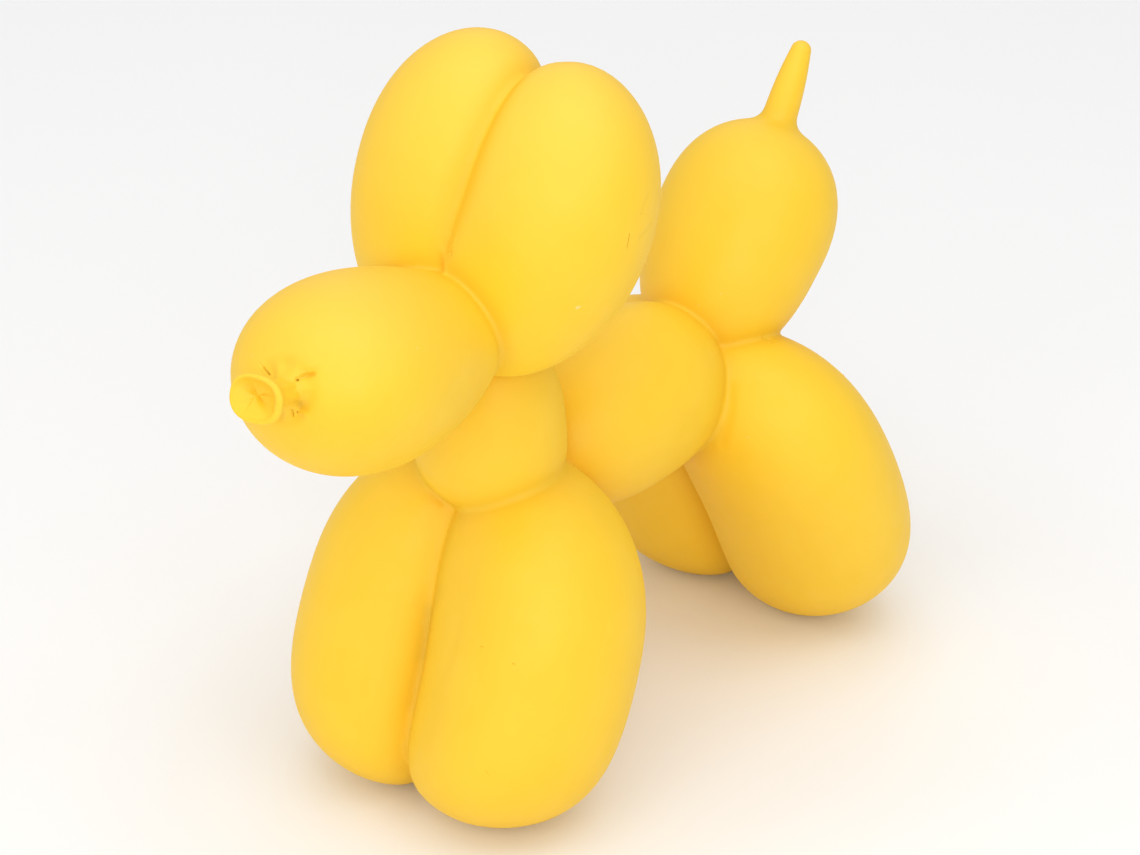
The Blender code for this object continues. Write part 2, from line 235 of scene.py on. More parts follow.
# Gathers in the snout around the stem: angle, half width in degrees, distance from the stem's axis,
# half breadth along that line, and height, negative for a groove
GATHERS = (
    (44.0, 8.0, 0.0048, 0.0019, -0.00050),
    (-25.0, 20.0, 0.0035, 0.0011, -0.00065),
    (145.0, 12.0, 0.0044, 0.0018, -0.00035),
    (-56.0, 10.0, 0.0038, 0.0012, -0.00035),
    (-110.0, 14.0, 0.0042, 0.0015, -0.00040),
    (-160.0, 13.0, 0.0044, 0.0015, -0.00035),
    (100.0, 14.0, 0.0040, 0.0014, -0.00022),
    (18.0, 9.0, 0.0040, 0.0015, 0.00022),
    (-39.0, 7.0, 0.0048, 0.0011, 0.00018),
    (74.0, 9.0, 0.0038, 0.0013, 0.00015),
    (-84.0, 9.0, 0.0038, 0.0012, 0.00016),
    (-135.0, 9.0, 0.0040, 0.0012, 0.00016),
    (122.0, 9.0, 0.0038, 0.0012, 0.00014),
)
PUCKER_DEPTH = 0.00048
PUCKER_RADIUS = 0.0042
PUCKER_BREADTH = 0.0015

# Softness of the creases: between bubbles, between the two of a pair, and at the tail end's root
CREASE_SOFTNESS = 0.0013
PAIR_SOFTNESS = {"ear": 0.0014, "front_leg": 0.0018, "hind_leg": 0.0012}
TAIL_END_SOFTNESS = 0.0026

# Valleys: between the ears and between the hind legs the crease is deeper and wider than the rest.
# Each has its pair, its depth and its half width.
VALLEYS = (
    ("ear", 0.0011, 0.0050),
    ("hind_leg", 0.0011, 0.0050),
)
VALLEY_FADE = 0.0120

# Ledges: the left one of a pair swells out beside the crease, and the right one sinks into it. Each has
# its pair, its height and how far that goes, and the other's sinking and how far that goes.
LEDGES = (
    ("front_leg", 0.0013, 0.0100, 0.0012, 0.0070),
    ("ear", 0.0007, 0.0060, 0.0005, 0.0050),
)

# The faint raised rim that runs beside the creases on these bubbles
RIMMED = ("snout", "body")
RIM_HEIGHT = 0.00002
RIM_PLACE = 0.0013
RIM_BREADTH = 0.0006

# Small marks where the photograph shows them: the pixels that each runs through, its half width, its
# depth, negative for one that stands proud, and how far it is darkened, partly dirt and partly painted
# shade in the pits, slits and dents
MARKS = (
    (((258.5, 363.0), (263.0, 368.0)), 0.00016, 0.00012, 0.0),
    (((263.0, 368.0), (268.6, 374.8)), 0.00015, 0.00045, 0.32),
    (((260.9, 368.4), (266.0, 374.4)), 0.00018, -0.00010, 0.0),
    (((296.8, 379.6), (304.0, 376.2), (312.6, 374.4)), 0.00036, 0.00040, 0.08),
    # Painted shade: the dark inside the pinhole
    (((296.1, 380.2),), 0.00015, 0.00080, 0.75),
    (((304.8, 370.6), (306.3, 373.0)), 0.00010, 0.00012, 0.0),
    (((294.6, 377.2), (304.0, 372.6), (312.0, 372.0)), 0.00016, -0.00008, 0.0),
    # Painted shade: the shadow in the dimple below the stem
    (((297.6, 402.6), (298.8, 407.0)), 0.00044, 0.00045, 0.11),
    (((300.0, 404.0), (303.0, 409.0)), 0.00080, 0.00015, 0.12),
    (((296.8, 412.2),), 0.00013, 0.00025, 0.50),
    (((291.3, 409.8), (292.0, 413.0), (292.6, 416.2)), 0.00011, 0.00040, 0.25),
    (((299.2, 412.6), (302.5, 413.6), (306.5, 415.8)), 0.00018, -0.00014, 0.0),
    (((629.8, 233.8), (628.8, 240.5), (627.4, 247.4)), 0.00009, 0.00025, 0.32),
    (((649.0, 192.0), (645.0, 203.0), (641.6, 213.2)), 0.00034, 0.00005, 0.04),
    (((641.0, 213.3), (645.7, 213.3)), 0.00014, 0.00004, 0.02),
    (((651.0, 224.0), (646.0, 231.0), (640.0, 237.0)), 0.00046, 0.00006, 0.05),
    (((450.9, 251.5), (450.4, 256.3)), 0.00013, 0.00026, 0.20),
    (((445.2, 252.8), (450.5, 251.6)), 0.00011, 0.00008, 0.0),
    (((480.2, 646.2), (482.3, 646.9)), 0.00011, 0.00014, 0.10),
    (((512.6, 663.8), (513.6, 664.2)), 0.00012, 0.00016, 0.20),
    (((485.5, 771.5), (488.0, 775.5)), 0.00012, 0.00010, 0.05),
    (((841.5, 374.6), (843.6, 374.9)), 0.00020, -0.00016, 0.0),
)

# Folds and ledges along the creases, in the same order of values
FOLDS = (
    (((523.0, 76.0), (512.7, 84.0), (504.5, 95.0), (496.0, 110.0)), 0.00055, -0.00012, 0.0),
    (((452.0, 232.0), (450.6, 238.0)), 0.00018, 0.00010, 0.0),
    (((455.5, 238.0), (453.0, 246.0)), 0.00028, -0.00012, 0.0),
    (((444.0, 253.0), (444.5, 262.0), (446.0, 270.0)), 0.00080, -0.00020, 0.0),
    (((485.0, 321.6), (492.4, 338.0), (495.5, 354.0), (500.0, 375.0)), 0.00022, 0.00006, 0.0),
    (((425.0, 481.0), (434.0, 493.0), (442.0, 502.0)), 0.00070, 0.00035, 0.0),
    (((457.0, 622.0), (453.0, 645.0), (442.0, 676.0)), 0.00160, 0.00012, 0.0),
    # These two paint shade into the crease between the front legs, with no relief
    (((439.0, 590.0), (430.0, 616.0), (424.0, 650.0), (416.0, 680.0), (411.0, 706.0)), 0.00150, 0.0, 0.06),
    (((431.0, 612.0), (427.0, 630.0), (422.0, 655.0)), 0.00140, 0.0, 0.06),
    (((725.0, 378.0), (725.0, 394.0), (723.0, 406.5), (718.0, 423.0), (712.0, 433.0)),
     0.00030, -0.00006, 0.0),
    (((730.0, 386.0), (730.0, 406.0), (727.0, 423.0), (722.0, 443.0)), 0.00100, 0.00022, 0.0),
    (((763.0, 338.0), (771.0, 339.5), (773.0, 342.0)), 0.00022, 0.00018, 0.05),
)

# Pale specks, a chip first and then grains of dust, as pixels and half widths
SPECKS = (
    ((577.2, 307.6), 0.00022),
    ((579.6, 306.6), 0.00014),
    ((417.0, 348.0), 0.00009),
    ((252.0, 355.0), 0.00009),
    ((237.5, 342.0), 0.00009),
    ((721.5, 293.5), 0.00009),
    ((698.7, 305.0), 0.00008),
    ((748.0, 437.0), 0.00009),
)
SPECK_HEIGHT = 0.00005
SPECK_PALENESS = 0.7

# Colours of the skin and of what marks it, and of the painted sheen, painted light and painted shade on it
DEEP_YELLOW = (0.945, 0.584, 0.018, 1.0)
PALE_YELLOW = (0.965, 0.606, 0.026, 1.0)
# Painted shade: the darker colour laid into the creases
CREASE_SHADE_YELLOW = (0.880, 0.545, 0.019, 1.0)
# Painted light: the paler colour laid beside the snout's creases
PAINTED_LIGHT_YELLOW = (0.950, 0.638, 0.024, 1.0)
# Dark marks: partly dirt, partly painted shade in pits, slits, dents and the front-leg crease
DIRT_AND_SHADE = (0.080, 0.045, 0.010, 1.0)
DUST = (0.950, 0.850, 0.550, 1.0)
# Painted sheen: the paler colour laid on upward faces high on the figure
SHEEN_YELLOW = (0.965, 0.612, 0.058, 1.0)

# Where the painted light and shade lie: the height from which upward faces get a painted sheen and the
# rise over which that grows, and how far the painted shade in the creases and the painted light beside the
# snout reach
SHEEN_FROM = 0.0700
SHEEN_RISE = 0.0700
CREASE_SHADE_REACH = 0.0022
PAINTED_LIGHT_REACH = 0.0060

# The skin's variation: each noise has its features per metre, its detail and its roughness
CLOUDS = (90.0, 4.0, 0.6)
WEAR = (260.0, 5.0, 0.6)
WAVES = (150.0, 2.0, 0.5)
GRAIN = (2400.0, 2.0, 0.5)
NOISE_RANGE = (0.3, 0.7)
WAVE_HEIGHT = 0.00010
GRAIN_HEIGHT = 0.000012
ROUGHNESS_RANGE = (0.50, 0.60)
SPECULAR = 0.46

# The floor
FLOOR_HALF_WIDTH = 4.0
FLOOR_COLOUR = (0.93, 0.93, 0.93, 1.0)
FLOOR_ROUGHNESS = 0.9

# The tent's colour
WHITE = (1.0, 1.0, 1.0, 1.0)

# How much of each foot is flattened off against the ground
FOOT_FLATTENING = 0.0003

# Steps around and along the rough spheres, and of the mouth's rings
ROUND_STEPS = 64
LENGTH_STEPS = 40
MOUTH_SEGMENTS = 144
FUNNEL_STEPS = 24
BEAD_STEPS = 14
STEM_STEPS = 16

# Fineness of the skin: the wanted edges everywhere, in the creases, around the mouth, on the tail's end
# and at the marks, how far these reach, how fast the edges grow beyond that, and how far past the wanted
# length an edge is split
SKIN_EDGE = 0.00160
CREASE_EDGE = 0.00036
CREASE_REACH = 0.0010
MOUTH_EDGE = 0.00028
MOUTH_REACH = 0.0066
TAIL_END_EDGE = 0.00045
MARK_EDGE = 0.00008
MARK_EDGE_SHARE = 0.6
MARK_SPREAD = 1.6
EDGE_GROWTH = 0.55
SPLITTING_SHARE = 1.4

# How often the skin is refined and evened out, the steps that settle a point on it, and the least
# steepness and the halvings with which a point is looked for
REFINING_PASSES = 5
EVENING_PASSES = 2
SETTLING_STEPS = 8
LEAST_STEEPNESS = 0.25
HALVINGS = 40

# Paths of the marks: how far off a mark still counts, its least step, and the pixels between its points
MARK_HEIGHT = 0.0040
LEAST_STEP = 0.00001
PIXEL_STEP = 2.0

# Lines of sight: their steps, the share of the distance that each step goes, and how far before the
# camera's target they start
TRACING_STEPS = 80
TRACING_SHARE = 0.9
TRACING_START = 0.12

# How far past its ends a bubble's own formula is followed, in half lengths
REACH = 1.6


def turned(pitch, lean=0.0, turn=0.0):
    """Rotation whose columns point across, fore and aft, and along a bubble."""
    about_x = Matrix.Rotation(math.radians(-pitch), 3, "X")
    about_y = Matrix.Rotation(math.radians(lean), 3, "Y")
    about_z = Matrix.Rotation(math.radians(turn), 3, "Z")
    return np.array(about_z @ about_y @ about_x)


class Bubble:
    """A bowed, tapered, blunt-ended round form about an axis."""

    def __init__(self, length, width, depth, taper, fullness, rotation, bow=(0.0, 0.0)):
        self.half = np.array([width / 2, depth / 2, length / 2])
        self.taper = taper
        self.fullness = fullness
        self.rotation = rotation
        self.bow = np.array(bow)
        self.centre = np.zeros(3)

    def along(self):
        return self.rotation[:, 2]

    def start_at(self, point):
        """Put the near end of the axis at a point."""
        self.centre = point + self.along() * self.half[2]
        return self

    def hang_from(self, point):
        """Put the far, upper end of the axis at a point."""
        self.centre = point - self.along() * self.half[2]
        return self

    def far_end(self):
        return self.centre + self.along() * self.half[2]

    def fullness_at(self, along):
        return np.where(along > 0, self.fullness[1], self.fullness[0])

    def skin(self, unit):
        """Points of a unit sphere (N x 3) carried onto the bubble."""
        t = np.sign(unit[:, 2]) * np.abs(unit[:, 2]) ** (2 / self.fullness_at(unit[:, 2]))
        girth = 1 + self.taper * t
        local = np.empty_like(unit)
        for axis in (0, 1):
            local[:, axis] = self.half[axis] * girth * unit[:, axis] + self.bow[axis] * (1 - t * t)
        local[:, 2] = self.half[2] * t
        return local @ self.rotation.T + self.centre

    def distance(self, points):
        """Signed distance of points to the skin, true close to it, and its direction."""
        local = (points - self.centre) @ self.rotation
        t = np.clip(local[:, 2] / self.half[2], -REACH, REACH)
        girth = 1 + self.taper * t
        radii = self.half[:2] * girth[:, None]
        across = (local[:, :2] - self.bow * (1 - t * t)[:, None]) / radii
        fullness = self.fullness_at(t)
        blunt = np.abs(t) ** (fullness - 1)
        value = (across ** 2).sum(1) + blunt * np.abs(t) - 1
        slope = np.empty_like(local)
        slope[:, :2] = 2 * across / radii
        drift = 2 * t[:, None] * self.bow / radii - across * (self.taper / girth)[:, None]
        slope[:, 2] = ((2 * across * drift).sum(1) + fullness * blunt * np.sign(t)) / self.half[2]
        size = np.linalg.norm(slope, axis=1)
        return value / size, (slope / size[:, None]) @ self.rotation.T

    def mirrored(self):
        """The same bubble on the other side of the plane x = 0."""
        flip = np.array([-1.0, 1.0, 1.0])
        flipped = self.rotation * flip[:, None]
        width, depth, length = 2 * self.half
        twin = Bubble(length, width, depth, self.taper, self.fullness, flipped, self.bow)
        twin.centre = self.centre * flip
        return twin


class Stub:
    """A round-ended stub that narrows more and more from its root to its tip."""

    def __init__(self, root, tip, root_radius, tip_radius, narrowing):
        self.root = root
        self.line = tip - root
        self.root_radius = root_radius
        self.tip_radius = tip_radius
        self.narrowing = narrowing

    def skin(self, unit):
        """Points of a unit sphere (N x 3) carried roughly onto the stub, one half to each end."""
        along = self.line / np.linalg.norm(self.line)
        across = np.cross(along, (1.0, 0.0, 0.0))
        axes = np.stack([np.cross(across, along), across, along])
        upper = (unit[:, 2] > 0)[:, None]
        radius = np.where(upper, self.tip_radius, self.root_radius)
        return self.root + np.where(upper, self.line, 0.0) + (unit * radius) @ axes

    def distance(self, points):
        """Signed distance of points to the skin, true close to it, and its direction."""
        from_root = points - self.root
        t = np.clip(from_root @ self.line / (self.line @ self.line), 0.0, 1.0)
        away = from_root - t[:, None] * self.line
        size = np.linalg.norm(away, axis=1)
        radius = self.root_radius + (self.tip_radius - self.root_radius) * t ** self.narrowing
        return size - radius, away / size[:, None]


def sphere_points():
    """The corners of a round cage of radius 1."""
    cage = bmesh.new()
    bmesh.ops.create_uvsphere(cage, u_segments=ROUND_STEPS, v_segments=LENGTH_STEPS, radius=1.0)
    unit = np.array([vert.co for vert in cage.verts])
    cage.free()
    return unit


def height_below_top(leg):
    """How far a leg's lowest point lies below the top end of its axis."""
    return leg.far_end()[2] - leg.skin(sphere_points())[:, 2].min()


def lay_out():
    """All the bubbles in place, built up from the feet: a dictionary by name."""
    front = Bubble(FRONT_LEG_LENGTH, FRONT_LEG_WIDTH, FRONT_LEG_DEPTH, FRONT_LEG_TAPER, FRONT_LEG_FULLNESS,
                   turned(FRONT_LEG_PITCH, FRONT_LEG_LEAN), FRONT_LEG_BOW)
    hind = Bubble(HIND_LEG_LENGTH, HIND_LEG_WIDTH, HIND_LEG_DEPTH, HIND_LEG_TAPER, HIND_LEG_FULLNESS,
                  turned(HIND_LEG_PITCH, HIND_LEG_LEAN), HIND_LEG_BOW)
    chest = np.array([0.0, 0.0, height_below_top(front) - FRONT_LEG_ABOVE - FOOT_FLATTENING])
    hips = np.array([0.0, BODY_SPAN, height_below_top(hind) - HIND_LEG_ABOVE - FOOT_FLATTENING])
    hind.hang_from(hips + (HIND_LEG_SIDE, -HIND_LEG_AHEAD, HIND_LEG_ABOVE))
    shift = (0.0, cad_high[1] - hind.skin(sphere_points())[:, 1].max(), 0.0)
    chest += shift
    hips += shift
    hind.centre += shift
    front.hang_from(chest + (FRONT_LEG_SIDE, -FRONT_LEG_AHEAD, FRONT_LEG_ABOVE))

    rise = hips[2] - chest[2]
    body_pitch = math.degrees(math.atan2(BODY_SPAN, rise))
    body = Bubble(math.hypot(BODY_SPAN, rise), BODY_WIDTH, BODY_DEPTH, BODY_TAPER, BODY_FULLNESS,
                  turned(body_pitch)).start_at(chest)
    neck = Bubble(NECK_LENGTH, NECK_WIDTH, NECK_DEPTH, NECK_TAPER, NECK_FULLNESS,
                  turned(NECK_PITCH)).start_at(chest + (0, -NECK_AHEAD, -NECK_BELOW))
    tail = Bubble(TAIL_LENGTH, TAIL_WIDTH, TAIL_DEPTH, TAIL_TAPER, TAIL_FULLNESS,
                  turned(TAIL_PITCH)).start_at(hips + (0, -TAIL_AHEAD, -TAIL_BELOW))

    head = neck.far_end()
    snout = Bubble(SNOUT_LENGTH, SNOUT_WIDTH, SNOUT_DEPTH, SNOUT_TAPER, SNOUT_FULLNESS,
                   turned(SNOUT_PITCH, 0, SNOUT_TURN)).start_at(head + (0, -SNOUT_AHEAD, SNOUT_ABOVE))
    ear = Bubble(EAR_LENGTH, EAR_WIDTH, EAR_DEPTH, EAR_TAPER, EAR_FULLNESS,
                 turned(EAR_PITCH, EAR_LEAN), EAR_BOW)
    ear.start_at(np.array([EAR_SIDE, -EAR_AHEAD, -EAR_BELOW]))
    other_ear = ear.mirrored()
    skew = turned(0, EARS_SKEW, EARS_TURN)
    for bubble in (ear, other_ear):
        bubble.rotation = skew @ bubble.rotation
        bubble.centre = head + (EARS_SHIFT, 0, 0) + skew @ bubble.centre
    return {"snout": snout, "left_ear": ear, "right_ear": other_ear, "neck": neck,
            "left_front_leg": front, "right_front_leg": front.mirrored(), "body": body,
            "left_hind_leg": hind, "right_hind_leg": hind.mirrored(), "tail": tail,
            "tail_end": tail_end(tail)}


def tail_end(tail):
    """The uninflated end, rooted inside the tail near its far end."""
    direction = turned(TAIL_END_PITCH)[:, 2]
    foot = tail.far_end() - tail.rotation[:, 1] * TAIL_END_FORWARD
    root = foot - direction * TAIL_END_EMBED
    tip = foot + direction * (TAIL_END_LENGTH - TAIL_END_TIP_RADIUS)
    return Stub(root, tip, TAIL_END_ROOT_RADIUS, TAIL_END_TIP_RADIUS, TAIL_END_NARROWING)


def soft_join(near, other, softness):
    """Two distances with their directions, joined with a soft crease between them."""
    share = np.clip(0.5 + 0.5 * (other[0] - near[0]) / softness, 0.0, 1.0)
    distance = other[0] + (near[0] - other[0]) * share - softness * share * (1 - share)
    direction = other[1] + (near[1] - other[1]) * share[:, None]
    return distance, direction


def smooth(share):
    """A share between 0 and 1, eased at both ends."""
    share = np.clip(share, 0.0, 1.0)
    return share * share * (3 - 2 * share)


def fading(offset, breadth):
    """1 in the middle, falling off softly on both sides."""
    return np.exp(-(offset / breadth) ** 2)


def angle_between(one, other):
    """The signed difference of two angles in degrees, between -180 and 180."""
    return (one - other + 180.0) % 360.0 - 180.0


class Mark:
    """A groove or a raised line along a path that lies on the skin."""

    def __init__(self, path, normals, width, depth, shade):
        self.path = path
        self.normals = normals
        self.width = width
        self.depth = depth
        self.shade = shade
        self.middle = path.mean(0)
        self.reach = np.linalg.norm(path - self.middle, axis=1).max() + MARK_HEIGHT

    def near(self, points):
        """The numbers of the points that lie close enough for the mark to matter."""
        return np.flatnonzero(np.linalg.norm(points - self.middle, axis=1) < self.reach)

    def offset(self, points):
        """How far points lie beside the path, measured along the skin."""
        ends = np.roll(self.path, -1, axis=0)
        nearest = np.full(len(points), np.inf)
        beside = np.full(len(points), np.inf)
        for start, end, normal in list(zip(self.path, ends, self.normals))[:max(1, len(self.path) - 1)]:
            line = end - start
            share = np.clip((points - start) @ line / max(line @ line, LEAST_STEP ** 2), 0.0, 1.0)
            away = points - start - share[:, None] * line
            height = away @ normal
            size = np.linalg.norm(away, axis=1)
            flat = np.sqrt(np.maximum(size ** 2 - height ** 2, 0.0))
            closer = size < nearest
            nearest = np.where(closer, size, nearest)
            beside = np.where(closer, flat, beside)
        return np.where(nearest < MARK_HEIGHT, beside, np.inf)


class Figure:
    """The whole skin as one distance: bubbles, soft creases, valleys, rims, gathers and marks."""

    def __init__(self, bubbles):
        self.bubbles = bubbles
        self.root = point_on(bubbles["snout"], MOUTH_SIDE, MOUTH_ABOVE)
        self.aim = turned(MOUTH_PITCH, 0, MOUTH_TURN)
        # The marks are placed on the skin as it is without any of them
        self.marks = []
        placed = [self.make_mark(*values) for values in MARKS + FOLDS]
        for pixel, width in SPECKS:
            placed.append(self.make_mark((pixel,), width, -SPECK_HEIGHT, -SPECK_PALENESS))
        self.marks = placed

    def make_mark(self, pixels, width, depth, shade):
        path = self.cast(closer_together(pixels))
        return Mark(path, self.distance(path)[1], width, depth, shade)

    def cast(self, pixels):
        """Where the lines of sight through pixels of the photograph meet the skin (N x 3)."""
        right, up, back, place = camera_axes()
        focal = CAMERA_LENS / SENSOR_WIDTH * PHOTO_WIDTH
        across = (pixels[:, :1] - PHOTO_WIDTH / 2) / focal
        down = (pixels[:, 1:] - PHOTO_HEIGHT / 2) / focal
        ways = right * across - up * down - back
        ways /= np.linalg.norm(ways, axis=1)[:, None]
        reach = np.full((len(pixels), 1), CAMERA_DISTANCE - TRACING_START)
        for _ in range(TRACING_STEPS):
            reach += TRACING_SHARE * self.distance(place + ways * reach)[0][:, None]
        return place + ways * reach

    def around_mouth(self, points):
        """Distance from the mouth's axis and angle about it in degrees, and height along it."""
        across, upward, height = ((points - self.root) @ self.aim).T
        return np.hypot(across, upward), np.degrees(np.arctan2(upward, across)), height

    def gathers(self, points):
        """How far the snout's skin is drawn out or in around the mouth."""
        radius, angle, height = self.around_mouth(points)
        collar = COLLAR_HEIGHT * np.exp(-np.maximum(radius - COLLAR_START, 0) / COLLAR_BREADTH)
        total = collar - PUCKER_DEPTH * fading(radius - PUCKER_RADIUS, PUCKER_BREADTH)
        for place, spread, reach, breadth, rise in GATHERS:
            total += rise * fading(angle_between(angle, place), spread) * fading(radius - reach, breadth)
        return np.where(np.abs(height) < 2 * MOUTH_REACH, total, 0.0)

    def relief(self, distances, points):
        """How deep the skin is sunk by valleys and marks, less what rims and specks stand proud."""
        names = list(self.bubbles)
        order = np.sort(distances, axis=0)
        rimmed = np.isin(distances.argmin(0), [names.index(name) for name in RIMMED])
        total = -RIM_HEIGHT * rimmed * fading(order[1] - order[0] - RIM_PLACE, RIM_BREADTH)
        for pair, depth, width in VALLEYS:
            both = ["left_" + pair, "right_" + pair]
            first, second = (distances[names.index(name)] for name in both)
            rest = np.min([one for name, one in zip(names, distances) if name not in both], axis=0)
            room = smooth((rest - np.maximum(first, second)) / VALLEY_FADE)
            across = smooth(1 - np.abs(first - second) / width)
            total += depth * room * across
        for mark in self.marks:
            near = mark.near(points)
            if len(near):
                total[near] += mark.depth * fading(mark.offset(points[near]), mark.width)
        return total

    def distance(self, points):
        """Signed distance of points to the skin, and its rough direction."""
        near_mouth = np.linalg.norm(points - self.root, axis=1) < 2 * MOUTH_REACH
        moved = points.copy()
        if near_mouth.any():
            drawn = self.gathers(points[near_mouth])
            moved[near_mouth] -= drawn[:, None] * self.aim[:, 2]
        found = {name: form.distance(moved) for name, form in self.bubbles.items()}
        distances = np.array([one[0] for one in found.values()])
        for pair, height, edge, sinking, width in LEDGES:
            near, far = found["left_" + pair], found["right_" + pair]
            ledge = height * (1 - smooth((far[0] - near[0]) / edge))
            sunk = sinking * smooth(1 - np.abs(far[0] - near[0]) / width)
            found["left_" + pair] = (near[0] - ledge, near[1])
            found["right_" + pair] = (far[0] + sunk, far[1])
        for pair, softness in PAIR_SOFTNESS.items():
            found[pair] = soft_join(found.pop("left_" + pair), found.pop("right_" + pair), softness)
        end = found.pop("tail_end")
        joined = found.pop("snout")
        for one in found.values():
            joined = soft_join(joined, one, CREASE_SOFTNESS)
        joined = soft_join(joined, end, TAIL_END_SOFTNESS)
        return joined[0] + self.relief(distances, points), joined[1]

    def shades(self, points):
        """How far marks darken each point, partly dirt and partly painted shade in pits, slits, dents and
        the front-leg crease; negative where specks make it paler.
        """
        shade = np.zeros(len(points))
        for mark in self.marks:
            near = mark.near(points)
            if mark.shade and len(near):
                shade[near] += mark.shade * fading(mark.offset(points[near]), mark.width)
        return np.clip(shade, -1.0, 1.0)

    def painted_light_beside_snout(self, points):
        """How near each point lies to the creases around the snout, where the skin gets painted light."""
        distances = np.array([form.distance(points)[0] for form in self.bubbles.values()])
        return fading(distances[0] - distances[1:].min(0), PAINTED_LIGHT_REACH)

    def painted_sheen(self, points):
        """How much painted sheen each point gets: the more, the higher it lies and the more it faces
        upwards.
        """
        direction = self.distance(points)[1]
        facing = direction[:, 2] / np.linalg.norm(direction, axis=1)
        return smooth(facing) * smooth((points[:, 2] - SHEEN_FROM) / SHEEN_RISE)

    def beyond_crease(self, points):
        """How much nearer each point lies to its own bubble than to the next one: 0 in the crease."""
        distances = np.sort([form.distance(points)[0] for form in self.bubbles.values()], axis=0)
        return distances[1] - distances[0]

    def settled(self, points):
        """The points moved onto the skin."""
        for _ in range(SETTLING_STEPS):
            distance, direction = self.distance(points)
            steepness = np.maximum((direction ** 2).sum(1), LEAST_STEEPNESS)
            points = points - direction * (distance / steepness)[:, None]
        return points

    def wanted_edge(self, points):
        """How long an edge may be at each point."""
        distances = np.array([form.distance(points)[0] for form in self.bubbles.values()])
        order = np.sort(distances, axis=0)
        from_mouth = np.linalg.norm(points - self.root, axis=1)
        wanted = np.full(len(points), SKIN_EDGE)

        def limit(chosen, edge, beyond):
            wanted[chosen] = np.minimum(wanted[chosen], edge + EDGE_GROWTH * np.maximum(beyond, 0.0))

        limit(slice(None), CREASE_EDGE, order[1] - order[0] - CREASE_REACH)
        limit(slice(None), MOUTH_EDGE, from_mouth - MOUTH_REACH)
        limit(slice(None), TAIL_END_EDGE, distances[-1])
        for mark in self.marks:
            near = mark.near(points)
            if len(near):
                edge = max(MARK_EDGE, mark.width * MARK_EDGE_SHARE)
                limit(near, edge, mark.offset(points[near]) - MARK_SPREAD * mark.width)
        return wanted


def closer_together(pixels):
    """The pixels of a path with more between them, a pixel or two apart (N x 2)."""
    found = [pixels[0]]
    for start, end in zip(pixels[:-1], pixels[1:]):
        count = math.ceil(math.dist(start, end) / PIXEL_STEP)
        found += [tuple(np.array(start) + (np.array(end) - start) * step / count)
                  for step in range(1, count + 1)]
    return np.array(found)


def vertex_places(mesh):
    """All the vertices of a mesh as an N x 3 array."""
    places = np.empty(len(mesh.vertices) * 3, np.float32)
    mesh.vertices.foreach_get("co", places)
    return places.astype(float).reshape(-1, 3)


def set_vertex_places(mesh, places):
    mesh.vertices.foreach_set("co", places.astype(np.float32).ravel())
    mesh.update()


def keep_values(mesh, name, values):
    """Store one value per vertex, for the material to read."""
    layer = mesh.attributes.new(name, "FLOAT", "POINT")
    layer.data.foreach_set("value", values.astype(np.float32))


def rough_figure(forms):
    """One object holding every form as its own shaped sphere."""
    mesh = bpy.data.meshes.new("moulded_figure")
    bm = bmesh.new()
    for form in forms:
        made = bmesh.ops.create_uvsphere(bm, u_segments=ROUND_STEPS, v_segments=LENGTH_STEPS, radius=1.0)
        places = form.skin(np.array([vert.co for vert in made["verts"]]))
        for vert, place in zip(made["verts"], places):
            vert.co = place
    bmesh.ops.recalc_face_normals(bm, faces=bm.faces)
    bm.to_mesh(mesh)
    bm.free()
    skin = bpy.data.objects.new("moulded_figure", mesh)
    bpy.context.scene.collection.objects.link(skin)
    return skin


def apply_modifiers(thing):
    """Swap an object's mesh for the one its modifiers make."""
    graph = bpy.context.evaluated_depsgraph_get()
    shaped = bpy.data.meshes.new_from_object(thing.evaluated_get(graph))
    thing.modifiers.clear()
    thing.data = shaped


def connected_verts(start):
    """All the vertices that edges join to one vertex, with that vertex."""
    found = {start}
    to_visit = [start]
    while to_visit:
        vert = to_visit.pop()
        for edge in vert.link_edges:
            other = edge.other_vert(vert)
            if other not in found:
                found.add(other)
                to_visit.append(other)
    return found


def keep_outer_skin(mesh):
    """Delete the closed pockets that are left inside, where several bubbles meet."""
    bm = bmesh.new()
    bm.from_mesh(mesh)
    waiting = set(bm.verts)
    shells = []
    while waiting:
        shell = connected_verts(next(iter(waiting)))
        waiting -= shell
        shells.append(shell)
    shells.sort(key=len)
    for pocket in shells[:-1]:
        bmesh.ops.delete(bm, geom=list(pocket), context="VERTS")
    bm.to_mesh(mesh)
    bm.free()


def triangles_of(mesh):
    """The vertex numbers of a mesh's triangles (N x 3)."""
    mesh.calc_loop_triangles()
    triangles = np.empty(len(mesh.loop_triangles) * 3, np.int32)
    mesh.loop_triangles.foreach_get("vertices", triangles)
    return triangles.reshape(-1, 3)


def split(triangles, middles):
    """Cut triangles where their edges have a middle point, or -1 where an edge stays whole."""
    count = (middles >= 0).sum(1)
    pieces = [triangles[count == 0]]

    def turned_so(rows, first):
        """The corners and middles of some triangles, turned so that a given edge comes first."""
        order = (first[rows][:, None] + np.arange(3)) % 3
        corners = np.take_along_axis(triangles[rows], order, 1)
        points = np.take_along_axis(middles[rows], order, 1)
        return (*corners.T, *points.T)

    a, b, c, ab, _, _ = turned_so(count == 1, (middles >= 0).argmax(1))
    pieces += [np.stack([a, ab, c], 1), np.stack([ab, b, c], 1)]
    a, b, c, ab, bc, _ = turned_so(count == 2, ((middles < 0).argmax(1) + 1) % 3)
    pieces += [np.stack([ab, b, bc], 1), np.stack([a, ab, bc], 1), np.stack([a, bc, c], 1)]
    a, b, c, ab, bc, ca = turned_so(count == 3, np.zeros(len(triangles), int))
    pieces += [np.stack([a, ab, ca], 1), np.stack([ab, b, bc], 1), np.stack([ca, bc, c], 1),
               np.stack([ab, bc, ca], 1)]
    return np.concatenate(pieces)


